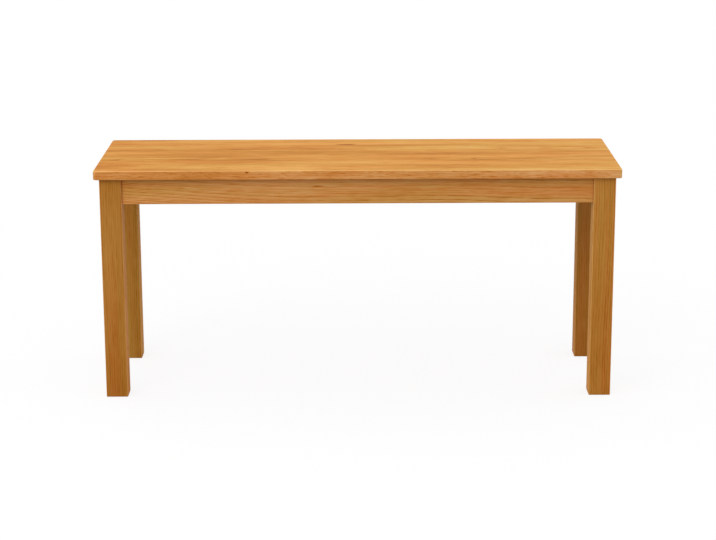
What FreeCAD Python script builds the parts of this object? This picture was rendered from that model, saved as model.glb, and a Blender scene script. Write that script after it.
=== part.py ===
"""Dining bench: an edge-glued seat on four square legs, held by aprons, corner blocks and leg bolts.

Millimetres. The origin is on the floor under the middle of the seat. X runs along the bench,
Y from its front (negative) to its back, and Z up.
"""

import FreeCAD, Part
import math
import os

# Seat
seat_length = 1000.0
seat_depth = 320.0
seat_height = 450.0
seat_thickness = 18.0
stave_count = 5
seat_overhang = 10.0
seat_corner_radius = 7.0
seat_top_round = 3.0
seat_bottom_round = 1.5

# Legs
leg_side = 42.0
leg_edge_round = 2.0
foot_chamfer = 1.0
leg_flat_width = 17.0

# Aprons and the rail across the middle
apron_height = 50.0
apron_thickness = 18.0
apron_setback = 6.0
apron_edge_round = 1.5
rail_height = 40.0
rail_thickness = 18.0

# Corner blocks: the gap lets a tightened bolt draw the leg against both aprons
block_height = 40.0
block_thickness = 24.0
block_gap = 3.0

# Leg bolts with their washers and the threaded nuts let into the legs
bolt_diameter = 6.0
bolt_pitch = 22.0
bolt_tip_reach = 2.0
bolt_tip_chamfer = 0.8
bolt_head_diameter = 10.5
bolt_head_height = 3.3
bolt_head_chamfer = 1.2
hex_key_size = 4.0
hex_key_depth = 2.2
flat_washer_diameter = 14.0
flat_washer_thickness = 1.5
spring_washer_diameter = 11.0
spring_washer_thickness = 1.6
spring_washer_split = 0.8
spring_washer_lean_degrees = 20.0
insert_diameter = 10.0
insert_length = 13.0
insert_lead_in = 0.8

# Wood screws: a grip is the wood between a head's face and the joint, a cover what is left past the tip
screw_diameter = 4.0
screw_head_diameter = 8.0
screw_point_length = 4.0
screw_recess_width = 1.1
screw_recess_span = 4.2
screw_recess_depth = 1.4
block_screw_pitch = 24.0
block_screw_grip = 9.0
block_screw_cover = 3.0
seat_screw_grip = 18.0
seat_screw_cover = 6.0
seat_screw_offset = 8.0
seat_screw_spacing = 13.0

# Rail dowels
dowel_diameter = 8.0
dowel_pitch = 20.0
dowel_rail_depth = 18.0
dowel_cover = 6.0
dowel_chamfer = 0.8
dowel_hole_relief = 0.5

# Clearances on a radius or along an axis, and how far a cutting shape runs past what it cuts
fit_clearance = 0.05
bolt_clearance = 0.4
screw_clearance = 0.25
counterbore_clearance = 0.6
overcut = 5.0

# Heights and faces that follow from the sizes above
seat_underside = seat_height - seat_thickness
leg_centre_x = seat_length / 2 - seat_overhang - leg_side / 2
leg_centre_y = seat_depth / 2 - seat_overhang - leg_side / 2
leg_inner_x = leg_centre_x - leg_side / 2
leg_inner_y = leg_centre_y - leg_side / 2
apron_outer_x = leg_centre_x + leg_side / 2 - apron_setback
apron_outer_y = leg_centre_y + leg_side / 2 - apron_setback
apron_inner_x = apron_outer_x - apron_thickness
apron_inner_y = apron_outer_y - apron_thickness
stave_width = seat_depth / stave_count

# In plan each corner is measured from where the two aprons' inner faces would meet: u runs from
# there along the long apron, v along the short one, and u + v is the same all along a 45 degree line.
diagonal = math.sqrt(2.0)
leg_reach = leg_side - apron_setback - apron_thickness
leg_flat_line = 2 * leg_reach - leg_flat_width / diagonal
block_back_line = leg_flat_line + block_gap * diagonal
block_front_line = block_back_line + block_thickness * diagonal
block_screw_place = (block_back_line + block_front_line) / 2
block_mid_height = seat_underside - block_height / 2

# Lengths of the fasteners
washer_stack = flat_washer_thickness + spring_washer_thickness
bolt_length = washer_stack + block_thickness + block_gap + insert_length + bolt_tip_reach
block_screw_length = block_screw_grip + apron_thickness - block_screw_cover
seat_screw_length = seat_screw_grip + seat_thickness - seat_screw_cover
dowel_apron_depth = apron_thickness - dowel_cover

# Each corner's name, with the sides of X and Y that it is on
corners = {
    "front_left": (-1, -1),
    "front_right": (1, -1),
    "back_left": (-1, 1),
    "back_right": (1, 1),
}
here = FreeCAD.Vector(0, 0, 0)
up = FreeCAD.Vector(0, 0, 1)
same_place = 1e-6


# Small tools

def vector(x, y, z):
    return FreeCAD.Vector(x, y, z)


def near(a, b):
    return abs(a - b) < same_place


def box_between(low, high):
    """A box from its low corner to its high corner."""
    size = high - low
    return Part.makeBox(size.x, size.y, size.z, low)


def rod(radius, start, direction, length):
    """A plain round bar or hole from a start point along a direction."""
    return Part.makeCylinder(radius, length, start, direction)


def prism(outline, bottom, height):
    """A straight-sided solid that stands on an outline of (x, y) points."""
    points = [vector(x, y, bottom) for x, y in outline]
    points.append(points[0])
    return Part.Face(Part.makePolygon(points)).extrude(vector(0, 0, height))


def turned(profile):
    """A turned piece about Z, from the (radius, height) points of its profile."""
    points = [vector(radius, 0, height) for radius, height in profile]
    points.append(points[0])
    return Part.Face(Part.makePolygon(points)).revolve(here, up, 360)


def stood(shape, start, direction):
    """Takes a shape made upright at the origin to a start point, along a direction."""
    shape.Placement = FreeCAD.Placement(start, FreeCAD.Rotation(up, direction))
    return shape


def edges_where(shape, test):
    """The edges whose middle point and direction pass a test."""
    found = []
    for edge in shape.Edges:
        middle = (edge.FirstParameter + edge.LastParameter) / 2
        if test(edge.valueAt(middle), edge.tangentAt(middle)):
            found.append(edge)
    return found


def upright_edges(shape):
    return edges_where(shape, lambda point, along: near(abs(along.z), 1))


def level_edges(shape, height):
    """The edges that lie at one height."""
    return edges_where(shape, lambda point, along: near(point.z, height))


# Places round the frame, which the holes and the fasteners share

def corner_point(signs, u, v, z):
    """A point measured from one corner of the apron frame."""
    side, face = signs
    return vector(side * (apron_inner_x - u), face * (apron_inner_y - v), z)


def on_diagonal(signs, line, z):
    """The point of a corner's diagonal where u + v has the value of line."""
    return corner_point(signs, line / 2, line / 2, z)


def towards_leg(signs):
    """The level 45 degree direction from inside the frame into a leg."""
    side, face = signs
    return vector(side / diagonal, face / diagonal, 0)


def pair_of_heights(middle, pitch):
    return [middle - pitch / 2, middle + pitch / 2]


def bolt_points(line):
    """For each leg bolt, its corner and the point of its axis where u + v has the value of line."""
    heights = pair_of_heights(block_mid_height, bolt_pitch)
    return [(signs, on_diagonal(signs, line, z)) for signs in corners.values() for z in heights]


def block_screw_seats(signs):
    """Where the screw heads bear in a corner block, each with the way its screw is driven."""
    side, face = signs
    seats = []
    for z in pair_of_heights(block_mid_height, block_screw_pitch):
        seats.append((corner_point(signs, block_screw_place, block_screw_grip, z), vector(0, face, 0)))
        seats.append((corner_point(signs, block_screw_grip, block_screw_place, z), vector(side, 0, 0)))
    return seats


def corner_seat_screw(signs):
    """Where the head of a corner block's seat screw bears."""
    height = seat_underside - seat_screw_grip
    return corner_point(signs, block_screw_place - seat_screw_spacing, seat_screw_offset, height)


def rail_seat_screws():
    """Where the heads of the rail's seat screws bear, one under each inner stave."""
    height = seat_underside - seat_screw_grip
    inner = range(1, stave_count - 1)
    return [vector(0, (i + 0.5) * stave_width - seat_depth / 2, height) for i in inner]


def seat_screw_heads():
    return [corner_seat_screw(signs) for signs in corners.values()] + rail_seat_screws()


def dowel_joints():
    """Where each dowel crosses from the rail into an apron, with the way it goes in."""
    heights = pair_of_heights(seat_underside - rail_height / 2, dowel_pitch)
    return [(vector(0, face * apron_inner_y, z), vector(0, face, 0)) for face in (-1, 1) for z in heights]


# Holes

def screw_hole(head, direction, length, outlet):
    """A screw's clearance hole, with its countersink and a counterbore that runs back by outlet."""
    radius = screw_diameter / 2 + screw_clearance
    rim = screw_head_diameter / 2 + screw_clearance
    sink = turned([(0, 0), (rim, 0), (radius, rim - radius), (0, rim - radius)])
    bore_radius = screw_head_diameter / 2 + counterbore_clearance
    bore = rod(bore_radius, head - direction * outlet, direction, outlet)
    return rod(radius, head, direction, length).fuse([stood(sink, head, direction), bore])


def screw_pilot(head, direction, length):
    """The hole that a screw's thread fills in the second piece."""
    return rod(screw_diameter / 2 + fit_clearance, head, direction, length + fit_clearance)


def block_screw_pilots(outward):
    """The pilot holes of every block screw that is driven in one direction."""
    pilots = []
    for signs in corners.values():
        for head, direction in block_screw_seats(signs):
            if direction.isEqual(outward, same_place):
                pilots.append(screw_pilot(head, direction, block_screw_length))
    return pilots


# Seat

def seat_slab():
    """The whole seat with its rounded corners and edges, before it is divided into staves."""
    low = vector(-seat_length / 2, -seat_depth / 2, seat_underside)
    slab = box_between(low, vector(seat_length / 2, seat_depth / 2, seat_height))
    slab = slab.makeFillet(seat_corner_radius, upright_edges(slab))
    slab = slab.makeFillet(seat_top_round, level_edges(slab, seat_height))
    return slab.makeFillet(seat_bottom_round, level_edges(slab, seat_underside))


def seat_staves():
    """The seat's staves from front to back, drilled from below for the seat screws."""
    slab = seat_slab().cut([screw_pilot(head, up, seat_screw_length) for head in seat_screw_heads()])
    staves = []
    for i in range(stave_count):
        front = i * stave_width - seat_depth / 2
        low = vector(-seat_length / 2, front, seat_underside)
        strip = box_between(low, vector(seat_length / 2, front + stave_width, seat_height))
        staves.append(slab.common(strip))
    return staves


def stave_name(index):
    """A stave's name: its number from the front, with the two outer ones named for their edge."""
    edge = {0: "_front", stave_count - 1: "_back"}.get(index, "")
    return f"seat_stave_{index + 1}{edge}"


# Frame

def leg(signs):
    """One leg: eased edges, a flat sawn on its inner corner and two blind holes for its nuts."""
    side, face = signs
    low = vector(side * leg_centre_x - leg_side / 2, face * leg_centre_y - leg_side / 2, 0)
    post = box_between(low, low + vector(leg_side, leg_side, seat_underside))
    foot_eased = post.makeChamfer(foot_chamfer, level_edges(post, 0))
    post = post.makeFillet(leg_edge_round, upright_edges(post)).common(foot_eased)
    depth = insert_length + bolt_tip_reach + fit_clearance
    waste = [leg_flat_waste(signs)]
    for owner, start in bolt_points(leg_flat_line):
        if owner == signs:
            waste.append(rod(insert_diameter / 2 + fit_clearance, start, towards_leg(signs), depth))
    return post.cut(waste)


def leg_flat_waste(signs):
    """What is sawn off a leg's inner corner beside the aprons."""
    far = 2 * leg_reach + overcut
    plan = [(leg_flat_line, 0), (far, 0), (far, far), (0, far), (0, leg_flat_line)]
    points = [corner_point(signs, u, v, 0) for u, v in plan]
    return prism([(p.x, p.y) for p in points], seat_underside - apron_height, apron_height + overcut)


def eased_board(low, high):
    """An apron board: square where it meets the seat, eased along its lower and upright edges."""
    board = box_between(low, high)
    return board.makeFillet(apron_edge_round, upright_edges(board) + level_edges(board, low.z))


def long_apron(face):
    """The front (-1) or back (1) apron, drilled for the block screws and the rail dowels."""
    low_y, high_y = sorted((face * apron_outer_y, face * apron_inner_y))
    low = vector(-leg_inner_x, low_y, seat_underside - apron_height)
    board = eased_board(low, vector(leg_inner_x, high_y, seat_underside))
    holes = block_screw_pilots(vector(0, face, 0))
    depth = dowel_apron_depth + dowel_hole_relief
    for joint, direction in dowel_joints():
        if near(direction.y, face):
            holes.append(rod(dowel_diameter / 2 + fit_clearance, joint, direction, depth))
    return board.cut(holes)


def short_apron(side):
    """The left (-1) or right (1) apron, drilled for the block screws."""
    low_x, high_x = sorted((side * apron_outer_x, side * apron_inner_x))
    low = vector(low_x, -leg_inner_y, seat_underside - apron_height)
    board = eased_board(low, vector(high_x, leg_inner_y, seat_underside))
    return board.cut(block_screw_pilots(vector(side, 0, 0)))


def centre_rail():
    """The rail under the middle of the seat, dowelled between the long aprons."""
    low = vector(-rail_thickness / 2, -apron_inner_y, seat_underside - rail_height)
    rail = box_between(low, vector(rail_thickness / 2, apron_inner_y, seat_underside))
    depth = dowel_rail_depth + dowel_hole_relief
    radius = dowel_diameter / 2 + fit_clearance
    outlet = rail_height - seat_screw_grip + overcut
    holes = [rod(radius, joint, -direction, depth) for joint, direction in dowel_joints()]
    holes += [screw_hole(head, up, seat_screw_length, outlet) for head in rail_seat_screws()]
    return rail.cut(holes)


def corner_block(signs):
    """One 45 degree block, screwed to two aprons and bored for the leg bolts and a seat screw."""
    plan = [(block_back_line, 0), (block_front_line, 0), (0, block_front_line), (0, block_back_line)]
    points = [corner_point(signs, u, v, 0) for u, v in plan]
    block = prism([(p.x, p.y) for p in points], seat_underside - block_height, block_height)
    seats = block_screw_seats(signs)
    holes = [screw_hole(head, way, block_screw_length, block_front_line) for head, way in seats]
    outlet = block_height - seat_screw_grip + overcut
    holes.append(screw_hole(corner_seat_screw(signs), up, seat_screw_length, outlet))
    radius = bolt_diameter / 2 + bolt_clearance
    for owner, start in bolt_points(block_front_line):
        if owner == signs:
            holes.append(rod(radius, start, towards_leg(signs), block_thickness))
    return block.cut(holes)


# Fasteners

def leg_bolts():
    """Button-headed bolts with a hexagon socket, two to a leg."""
    radius = bolt_diameter / 2
    rim = bolt_head_diameter / 2
    profile = [
        (0, -bolt_head_height),
        (rim - bolt_head_chamfer, -bolt_head_height),
        (rim, bolt_head_chamfer - bolt_head_height),
        (rim, 0),
        (radius, 0),
        (radius, bolt_length - bolt_tip_chamfer),
        (radius - bolt_tip_chamfer, bolt_length),
        (0, bolt_length),
    ]
    bolt = turned(profile).cut(hexagon_bar(hex_key_size, -bolt_head_height, hex_key_depth))
    points = bolt_points(block_front_line + washer_stack * diagonal)
    return [stood(bolt.copy(), head, towards_leg(signs)) for signs, head in points]


def hexagon_bar(across_flats, bottom, height):
    """A hexagonal bar of a given width across its flats."""
    reach = across_flats / math.sqrt(3.0)
    angles = [i * math.pi / 3 for i in range(6)]
    return prism([(reach * math.cos(a), reach * math.sin(a)) for a in angles], bottom, height)


def ring(outer_diameter, thickness):
    """A flat ring that slips over a leg bolt."""
    hole = rod(bolt_diameter / 2 + fit_clearance, here, up, thickness)
    return rod(outer_diameter / 2, here, up, thickness).cut(hole)


def flat_washers():
    """One flat washer against the block under each bolt."""
    washer = ring(flat_washer_diameter, flat_washer_thickness)
    points = bolt_points(block_front_line + flat_washer_thickness * diagonal)
    return [stood(washer.copy(), start, towards_leg(signs)) for signs, start in points]


def spring_washers():
    """One split spring washer, pressed flat, between each bolt head and its flat washer."""
    reach = spring_washer_thickness + overcut
    low = vector(0, -spring_washer_split / 2, -reach)
    saw = box_between(low, vector(spring_washer_diameter, spring_washer_split / 2, reach))
    lean = FreeCAD.Rotation(vector(1, 0, 0), spring_washer_lean_degrees)
    saw.Placement = FreeCAD.Placement(vector(0, 0, spring_washer_thickness / 2), lean)
    washer = ring(spring_washer_diameter, spring_washer_thickness).cut(saw)
    points = bolt_points(block_front_line + washer_stack * diagonal)
    return [stood(washer.copy(), start, towards_leg(signs)) for signs, start in points]


def leg_insert_nuts():
    """Threaded nuts let into the legs, one for each bolt, with a countersunk mouth."""
    outer = insert_diameter / 2
    bore = bolt_diameter / 2 + fit_clearance
    profile = [
        (bore + insert_lead_in, 0),
        (outer, 0),
        (outer, insert_length),
        (bore, insert_length),
        (bore, insert_lead_in),
    ]
    nut = turned(profile)
    return [stood(nut.copy(), start, towards_leg(signs)) for signs, start in bolt_points(leg_flat_line)]


def wood_screw(head, direction, length):
    """One countersunk screw with a cross recess: the flat top of its head is at head."""
    radius = screw_diameter / 2
    rim = screw_head_diameter / 2
    profile = [(0, 0), (rim, 0), (radius, rim - radius), (radius, length - screw_point_length), (0, length)]
    half_span = screw_recess_span / 2
    half_width = screw_recess_width / 2
    slots = []
    for x, y in ((half_span, half_width), (half_width, half_span)):
        slots.append(box_between(vector(-x, -y, -overcut), vector(x, y, screw_recess_depth)))
    return stood(turned(profile).cut(slots), head, direction)


def block_screws():
    """The screws that hold the corner blocks to the aprons."""
    seats = [seat for signs in corners.values() for seat in block_screw_seats(signs)]
    return [wood_screw(head, direction, block_screw_length) for head, direction in seats]


def seat_screws():
    """The screws driven up into the seat, through the corner blocks and the rail."""
    return [wood_screw(head, up, seat_screw_length) for head in seat_screw_heads()]


def rail_dowels():
    """The dowels that join the rail to the long aprons, with chamfered ends."""
    radius = dowel_diameter / 2
    length = dowel_rail_depth + dowel_apron_depth
    profile = [
        (0, 0),
        (radius - dowel_chamfer, 0),
        (radius, dowel_chamfer),
        (radius, length - dowel_chamfer),
        (radius - dowel_chamfer, length),
        (0, length),
    ]
    dowel = turned(profile)
    starts = [(joint - direction * dowel_rail_depth, direction) for joint, direction in dowel_joints()]
    return [stood(dowel.copy(), start, direction) for start, direction in starts]


def build():
    """Every node of the bench, by name."""
    nodes = {stave_name(i): stave for i, stave in enumerate(seat_staves())}
    for name, signs in corners.items():
        nodes[f"leg_{name}"] = leg(signs)
        nodes[f"corner_block_{name}"] = corner_block(signs)
    nodes["apron_front"] = long_apron(-1)
    nodes["apron_back"] = long_apron(1)
    nodes["apron_left"] = short_apron(-1)
    nodes["apron_right"] = short_apron(1)
    nodes["centre_rail"] = centre_rail()
    bolted = (leg_bolts, flat_washers, spring_washers, leg_insert_nuts)
    for group in bolted + (block_screws, seat_screws, rail_dowels):
        nodes[group.__name__] = Part.makeCompound(group())
    return nodes


def main():
    os.makedirs("parts", exist_ok=True)
    for name, shape in build().items():
        shape.exportStep(f"parts/{name}.step")
        volume = sum(solid.Volume for solid in shape.Solids)
        print(f"{name}: {len(shape.Solids)} solid(s), {volume / 1000:.2f} cm3, valid {shape.isValid()}")


main()
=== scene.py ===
# %% [markdown]
# # A plain oak dining bench
# The bench is a lacquered seat on four square legs. Under the seat an apron frame holds the legs, with
# corner blocks and bolts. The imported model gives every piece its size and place, so this lesson loads it
# first and then dresses it: camera, light, oak, boards, and last the ironmongery.

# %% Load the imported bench
import math
from functools import partial, partialmethod

import bmesh
import bpy
import numpy as np
from mathutils import Euler, Matrix, Vector


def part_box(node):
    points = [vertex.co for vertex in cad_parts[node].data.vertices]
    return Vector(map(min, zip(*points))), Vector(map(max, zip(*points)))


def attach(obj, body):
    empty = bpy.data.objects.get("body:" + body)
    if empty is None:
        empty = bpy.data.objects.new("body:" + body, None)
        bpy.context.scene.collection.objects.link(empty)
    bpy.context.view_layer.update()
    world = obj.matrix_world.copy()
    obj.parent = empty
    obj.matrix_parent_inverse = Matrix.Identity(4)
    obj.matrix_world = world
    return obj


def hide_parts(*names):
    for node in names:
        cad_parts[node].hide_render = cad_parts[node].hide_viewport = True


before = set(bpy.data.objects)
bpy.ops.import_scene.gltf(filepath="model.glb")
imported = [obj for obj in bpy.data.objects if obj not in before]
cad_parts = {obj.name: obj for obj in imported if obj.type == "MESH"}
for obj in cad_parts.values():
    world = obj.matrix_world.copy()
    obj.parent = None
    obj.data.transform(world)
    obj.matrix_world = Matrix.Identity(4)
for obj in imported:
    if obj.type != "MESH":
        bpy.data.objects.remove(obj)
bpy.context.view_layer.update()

scene = bpy.context.scene
scene.view_settings.view_transform = "Standard"

# %% [markdown]
# ## Node maths as Python
# A node tree is a sum drawn as boxes. It could be wired by hand, but a sum reads better as a sum. So a
# small class holds one output of a tree: adding two of them adds the Math node, and one method makes every
# other kind of node.


# %% A value that flows through a node tree
def set_stops(color_ramp, stops):
    while len(color_ramp.elements) < len(stops):
        color_ramp.elements.new(0.5)
    for element, (place, colour) in zip(color_ramp.elements, stops):
        element.position = place
        element.color = (*colour, 1.0)


def add_items(items, count):
    while len(items) < count:
        items.new()


class Flow:
    """One output socket of a node tree, or the empty start of one."""

    def __init__(self, tree, socket=None):
        self.tree = tree
        self.socket = socket

    def node(self, kind, inputs=None, output=0, **settings):
        """Adds a node: its settings first, then its inputs' values or links. Returns one of its outputs."""
        made = self.tree.nodes.new(kind)
        for name, value in settings.items():
            if name == "stops":
                set_stops(made.color_ramp, value)
            elif name == "items":
                add_items(made.index_switch_items, value)
            else:
                setattr(made, name, value)
        for name, value in (inputs or {}).items():
            if isinstance(value, Flow):
                self.tree.links.new(value.socket, made.inputs[name])
            else:
                made.inputs[name].default_value = value
        return Flow(self.tree, made.outputs[output] if made.outputs else None)

    def math(self, operation, *others, kind="ShaderNodeMath", output=0):
        """A Math or Vector Math node: this value is its first input."""
        return self.node(kind, dict(enumerate((self, *others))), output, operation=operation)

    def parts(self):
        """The three numbers of a vector."""
        split = self.node("ShaderNodeSeparateXYZ", {0: self}).socket.node
        return [Flow(self.tree, socket) for socket in split.outputs]

    def ramp(self, low, high, start=0.0, end=1.0):
        """Goes smoothly from start to end as this value goes from low to high."""
        inputs = {"Value": self, "From Min": low, "From Max": high, "To Min": start, "To Max": end}
        return self.node("ShaderNodeMapRange", inputs, interpolation_type="SMOOTHSTEP")

    def mixed(self, other, factor, blend="MIX"):
        """This colour mixed with another. A Mix node's inputs 6 and 7 and its output 2 are colours."""
        inputs = {0: factor, 6: self, 7: other}
        return self.node("ShaderNodeMix", inputs, output=2, data_type="RGBA", blend_type=blend)

    vector = partialmethod(math, kind="ShaderNodeVectorMath")
    __add__ = __radd__ = partialmethod(math, "ADD")
    __mul__ = __rmul__ = partialmethod(math, "MULTIPLY")
    __sub__ = partialmethod(math, "SUBTRACT")
    __rsub__ = partialmethod(math, "MULTIPLY_ADD", -1.0)
    __truediv__ = partialmethod(math, "DIVIDE")
    __pow__ = partialmethod(math, "POWER")


print("Flow adds, subtracts, multiplies, divides and raises to a power")


# %% Start and end of a material
def empty_tree(block):
    """The start of the emptied node tree of a material or a world."""
    block.use_nodes = True
    block.node_tree.nodes.clear()
    return Flow(block.node_tree)


def set_surface(start, kind, inputs):
    start.node("ShaderNodeOutputMaterial", {"Surface": start.node(kind, inputs)})


print("the packed bench came with", len(bpy.data.materials), "plain materials")

# %% [markdown]
# ## The camera
# The bench was photographed from the front, a little above the seat, with a long lens. A camera could be set
# by eye, but then no edge quite lines up. So edges were measured on the photograph and a plain camera was
# fitted to them. It has no lens shift, so that other views stay centred.

# %% Camera
photo_width_px = 716
focal_px = 1957.0
sensor_width_mm = 36.0
camera_place = Vector((-0.0026, -3.7804, 1.1825))
camera_pitch_degrees = 14.36
camera_yaw_degrees = 0.043
camera_roll_degrees = -0.209


def placed(name, data):
    """A new object in the scene."""
    item = bpy.data.objects.new(name, data)
    scene.collection.objects.link(item)
    return item


lens = bpy.data.cameras.new("photo_camera")
lens.sensor_width = sensor_width_mm
lens.lens = focal_px / photo_width_px * sensor_width_mm
aim = Euler((math.radians(90 - camera_pitch_degrees), 0, math.radians(-camera_yaw_degrees))).to_matrix()
aim = aim @ Matrix.Rotation(math.radians(camera_roll_degrees), 3, "Z")
scene.camera = placed("photo_camera", lens)
scene.camera.matrix_world = Matrix.Translation(camera_place) @ aim.to_4x4()
print("camera lens", round(lens.lens, 1), "mm")

# %% [markdown]
# ## Light and floor
# A product photograph is lit from all round by a pale studio, with one large soft lamp in front and a weak
# one at each side. One bright lamp would be simpler, but its shadows are hard. Floor and sky look white to
# the camera and in reflections, through the Light Path node, while the wood gets only their dimmer light.
# Close to the bench the floor shows some of its real shading, which keeps a soft shadow round the legs.

# %% White floor and sky
sky_strength = 0.86
floor_bounce = 0.38
floor_paint = 0.97
floor_half_size = 30.0
floor_drop = 0.0002
shadow_reach = (0.6, 1.6)
shadow_share = 0.16


def seen_directly(start):
    """1 on rays that come straight from the camera, or by a mirror or glass, and 0 on the rest."""
    rays = start.node("ShaderNodeLightPath").socket.node.outputs
    kinds = ("Is Camera Ray", "Is Glossy Ray", "Is Transmission Ray")
    straight, mirror, glass = [Flow(start.tree, rays[kind]) for kind in kinds]
    return straight.math("MAXIMUM", mirror.math("MAXIMUM", glass))


def matt_paint(start, level):
    return start.node("ShaderNodeBsdfDiffuse", {"Color": (level, level, level, 1)})


def white_floor():
    material = bpy.data.materials.new("white_floor")
    start = empty_tree(material)
    away = start.node("ShaderNodeTexCoord", output="Object").vector("LENGTH", output="Value")
    shading = shadow_share * away.ramp(*shadow_reach, 1.0, 0.0)
    glow_and_shade = {0: shading, 1: start.node("ShaderNodeEmission"), 2: matt_paint(start, floor_paint)}
    seen = start.node("ShaderNodeMixShader", glow_and_shade)
    dim_and_seen = {0: seen_directly(start), 1: matt_paint(start, floor_bounce), 2: seen}
    set_surface(start, "ShaderNodeMixShader", dim_and_seen)
    return material


def white_sky():
    world = bpy.data.worlds.new("white_sky")
    start = empty_tree(world)
    strength = seen_directly(start) * (1 - sky_strength) + sky_strength
    light = start.node("ShaderNodeBackground", {"Color": (1, 1, 1, 1), "Strength": strength})
    start.node("ShaderNodeOutputWorld", {"Surface": light})
    return world


def floor_sheet():
    sheet = bpy.data.meshes.new("floor")
    rim = floor_half_size
    corners = [(x, y, -floor_drop) for x, y in ((-rim, -rim), (rim, -rim), (rim, rim), (-rim, rim))]
    sheet.from_pydata(corners, [], [(0, 1, 2, 3)])
    sheet.materials.append(white_floor())
    return sheet


scene.world = white_sky()
floor = placed("floor", floor_sheet())
print("floor", 2 * floor_half_size, "m wide, sky strength", sky_strength)

# %% Softboxes
lamp_size = (2.4, 2.4)
lamp_target = Vector((0, 0, 0.3))
lamps = {
    "front_softbox": {"place": (-1.6, -3.0, 2.6), "watts": 44},
    "left_softbox": {"place": (-3.2, 0.0, 0.9), "watts": 13},
    "right_softbox": {"place": (3.2, 0.0, 0.9), "watts": 13},
}


def soft_lamp(name, place, watts):
    light = bpy.data.lights.new(name, "AREA")
    light.shape = "RECTANGLE"
    light.size, light.size_y = lamp_size
    light.energy = watts
    lamp = placed(name, light)
    lamp.location = place
    lamp.rotation_euler = (lamp_target - Vector(place)).to_track_quat("-Z", "Y").to_euler()
    print(name, watts, "W")


for name, lamp in lamps.items():
    soft_lamp(name, **lamp)

# %% [markdown]
# ## Oak
# A tree grows a ring each year: wide open pores in spring, dense wood in summer. A board is a slice through
# the rings, and how it was sawn decides its figure: arches where it lies along them, straight lines where it
# cuts across. A picture wrapped round a board shows its joins at the corners. Here the rings are a solid
# pattern about a pith line beside the board, so face, edge and end grain agree.

# %% How boards are sawn
# Pith: where the tree's middle lies, across and through the board. Drift and bend: how it leaves the
# board's line. Ring: a year's growth. Sway: how far the rings wander. Contrast: how dark spring wood is.
flat_sawn = {"pith": (0.006, -0.048), "drift": (0.004, 0.022), "bend": 0.0}
flat_sawn |= {"ring": 0.0034, "sway": 0.012, "contrast": 0.36}
rift_sawn = flat_sawn | {"pith": (0.075, -0.070), "drift": (0.006, 0.004)}
rift_sawn |= {"ring": 0.0028, "sway": 0.014, "contrast": 0.30}
quarter_sawn = flat_sawn | {"pith": (0.120, 0.010), "drift": (0.004, 0.003)}
quarter_sawn |= {"ring": 0.0026, "contrast": 0.28}
print("flat sawn boards have rings of about", round(1000 * flat_sawn["ring"], 1), "mm")

# %% Rings and streaks
turns = {"x": (0, 0, 0), "y": (0, 0, math.pi / 2), "z": (0, -math.pi / 2, 0)}
# Layers of the grain: patches per metre along, across and through it, seed step, detail and roughness.
layers = {
    "lean": ((2.6, 5, 5), 0, 0.0),
    "sag": ((2.6, 5, 5), 3, 0.0),
    "ripple": ((9, 60, 60), 5, 1.0),
    "clouds": ((2.2, 14, 14), 7),
    "bands": ((2.8, 28, 28), 11),
    "fibres": ((26, 400, 400), 13, 3.0, 0.6),
    "pores": ((110, 1900, 1900), 17, 1.0),
    "vessels": ((45, 800, 800), 19, 1.0),
    "ray_ends": ((75, 520, 520), 29),
    "ragged": ((60, 500, 500), 31, 3.0),
}
pace_per_metre, pace_years = 55, 2.2
ripple_years = 0.35
swelling, swelling_reach = 0.003, 3.5


def board_space(start, centre, turn):
    """Places measured from a board's middle, turned so that X runs along its grain."""
    place = start.node("ShaderNodeTexCoord", output="Object")
    inputs = {"Vector": place, "Location": centre, "Rotation": turn}
    return start.node("ShaderNodeMapping", inputs, vector_type="TEXTURE")


def streaks(board, seed, repeats, step, detail=2.0, roughness=0.5):
    """Noise drawn out along the grain, from 0 to 1."""
    inputs = {"Vector": board.vector("MULTIPLY", repeats), "W": seed + step, "Scale": 1.0}
    inputs |= {"Detail": detail, "Roughness": roughness}
    return board.node("ShaderNodeTexNoise", inputs, noise_dimensions="4D")


def layer(board, name, seed):
    return streaks(board, seed, *layers[name])


def away_from(board, mark):
    """How far a place is from the middle of a knot or fleck, in its half sizes."""
    from_middle = board.vector("SUBTRACT", mark["middle"])
    return from_middle.vector("DIVIDE", mark["reach"]).vector("LENGTH", output="Value")


def year_rings(board, cut, seed, mark):
    """The age of the wood at each place, in years of growth from the pith. Rings swell round a mark."""
    along, across, deep = board.parts()
    lean = layer(board, "lean", seed) - 0.5
    sag = layer(board, "sag", seed) - 0.5
    across = across - cut["pith"][0] - along * cut["drift"][0] + lean * cut["sway"]
    climb = along * (along * cut["bend"] + cut["drift"][1])
    deep = deep - cut["pith"][1] - climb + sag * cut["sway"]
    radius = (across * across + deep * deep).math("SQRT")
    if mark:
        radius = radius + away_from(board, mark).ramp(0.0, swelling_reach, swelling, 0.0)
    growth = {"W": radius * pace_per_metre + seed, "Scale": 1.0}
    pace = board.node("ShaderNodeTexNoise", growth, noise_dimensions="1D") - 0.5
    ripple = layer(board, "ripple", seed) - 0.5
    return radius / cut["ring"] + pace * pace_years + ripple * ripple_years


print("grain can run along", ", ".join(turns), "and has the layers", ", ".join(layers))
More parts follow.
